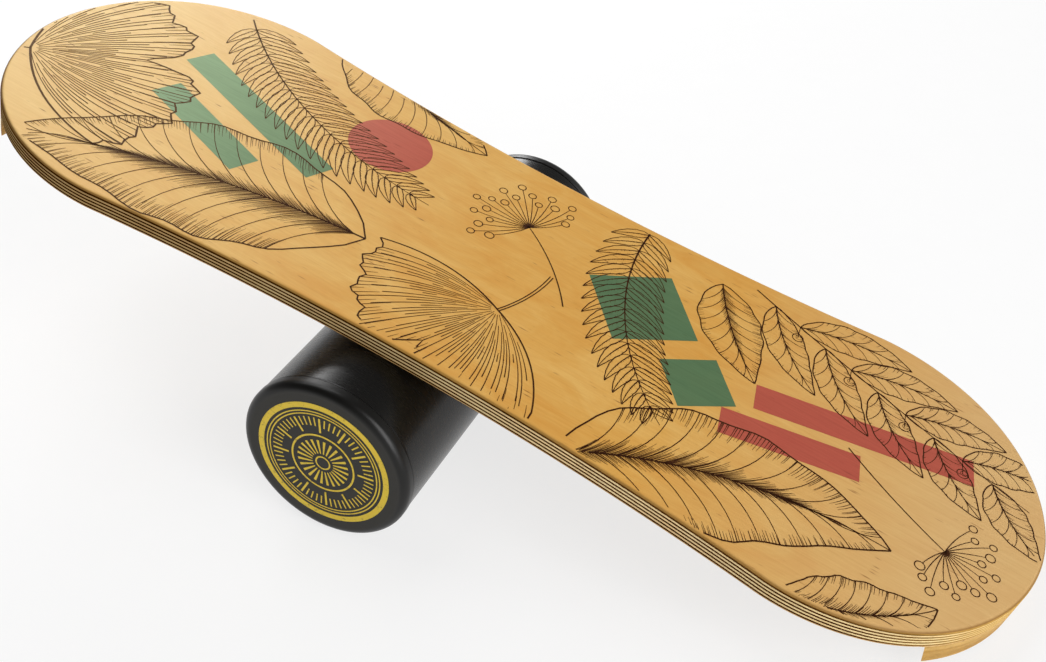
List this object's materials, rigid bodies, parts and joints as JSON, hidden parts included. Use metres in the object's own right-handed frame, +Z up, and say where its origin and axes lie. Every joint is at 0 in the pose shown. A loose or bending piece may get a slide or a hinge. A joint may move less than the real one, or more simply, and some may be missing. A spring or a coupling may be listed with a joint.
{
  "type": "rola bola",
  "caption": "Balance board: a flat plywood deck with a wooden stop under each end, leaning on a loose capped roller.",
  "frame": {"origin": "on the floor, under the middle of the whole object's box", "axes": "+X towards the deck end whose stop rests on the floor, +Y along the roller, +Z up"},
  "size_m": [0.8058, 0.34, 0.2288],
  "materials": {
    "long_grain_birch": "clear lacquer, satin",
    "cross_grain_birch": "end grain, sealed",
    "stop_wood": "clear lacquer, satin",
    "tube_plastic": "satin black",
    "cap_plastic": "dark grey, rounded rim",
    "screw_steel": "yellow zinc"
  },
  "bodies": {
    "deck": {"veneer_01_face": "long_grain_birch", "veneer_02_cross": "cross_grain_birch", "veneer_03_long": "long_grain_birch", "veneer_04_cross": "cross_grain_birch", "veneer_05_long": "long_grain_birch", "veneer_06_cross": "cross_grain_birch", "veneer_07_long": "long_grain_birch", "veneer_08_cross": "cross_grain_birch", "veneer_09_long": "long_grain_birch", "veneer_10_cross": "cross_grain_birch", "veneer_11_back": "long_grain_birch", "left_end_stop": "stop_wood", "right_end_stop": "stop_wood", "left_stop_screw_1": "screw_steel", "left_stop_screw_2": "screw_steel", "left_stop_screw_3": "screw_steel", "right_stop_screw_1": "screw_steel", "right_stop_screw_2": "screw_steel", "right_stop_screw_3": "screw_steel"},
    "roller": {"roller_tube": "tube_plastic"},
    "end_caps": {"near_end_cap": "cap_plastic", "far_end_cap": "cap_plastic"}
  },
  "joints": [
    {"name": "roller_travel", "type": "slide", "parent": "deck", "child": "roller", "axis": [0.9705, 0, -0.2413], "range_m": [-0.282, 0.351]},
    {"name": "roller_spin", "type": "hinge", "parent": "roller", "child": "end_caps", "pos_m": [-0.04818, 0, 0.063], "axis": [0, 1, 0], "range_deg": [-322, 259]}
  ],
  "couplings": [
    {"joint": "roller_spin", "follows": "roller_travel", "rad_per_m": -16}
  ]
}
